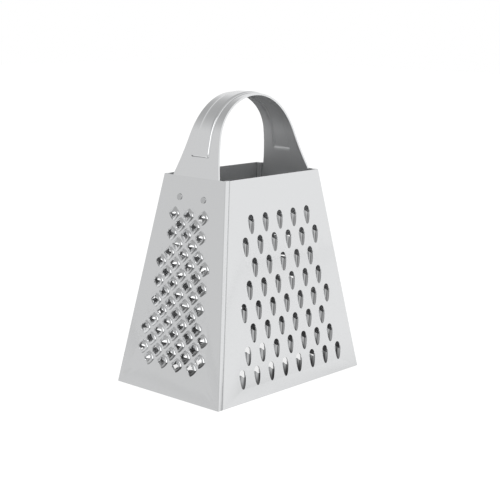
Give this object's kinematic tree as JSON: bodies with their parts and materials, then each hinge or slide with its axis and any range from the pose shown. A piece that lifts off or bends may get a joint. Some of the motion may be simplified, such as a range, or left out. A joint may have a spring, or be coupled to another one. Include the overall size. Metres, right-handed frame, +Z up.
{
  "type": "box grater",
  "caption": "Tapered box grater of lock-seamed stainless sheet, with coarse, medium, rasp and slicing faces, an open base and an arched strap handle riveted inside the top.",
  "frame": {"origin": "middle of the open base, on the surface that the grater stands on", "axes": "+Z up to the handle, X along the wide faces, -Y out of the coarse face, -X out of the rasp face"},
  "size_m": [0.11, 0.072, 0.1491],
  "materials": {
    "panel_steel": "bright cold-rolled stainless sheet, bare, with a soft sheen",
    "strap_steel": "polished stainless strip, bare, with clear reflections",
    "rivet_steel": "bare stainless rivet with a dimpled head"
  },
  "bodies": {
    "root": {"front_coarse_panel": "panel_steel", "back_medium_panel": "panel_steel", "left_rasp_panel": "panel_steel", "right_slicer_panel": "panel_steel", "handle_strap": "strap_steel", "left_handle_rivet_1": "rivet_steel", "left_handle_rivet_2": "rivet_steel", "right_handle_rivet_1": "rivet_steel", "right_handle_rivet_2": "rivet_steel"}
  },
  "joints": []
}
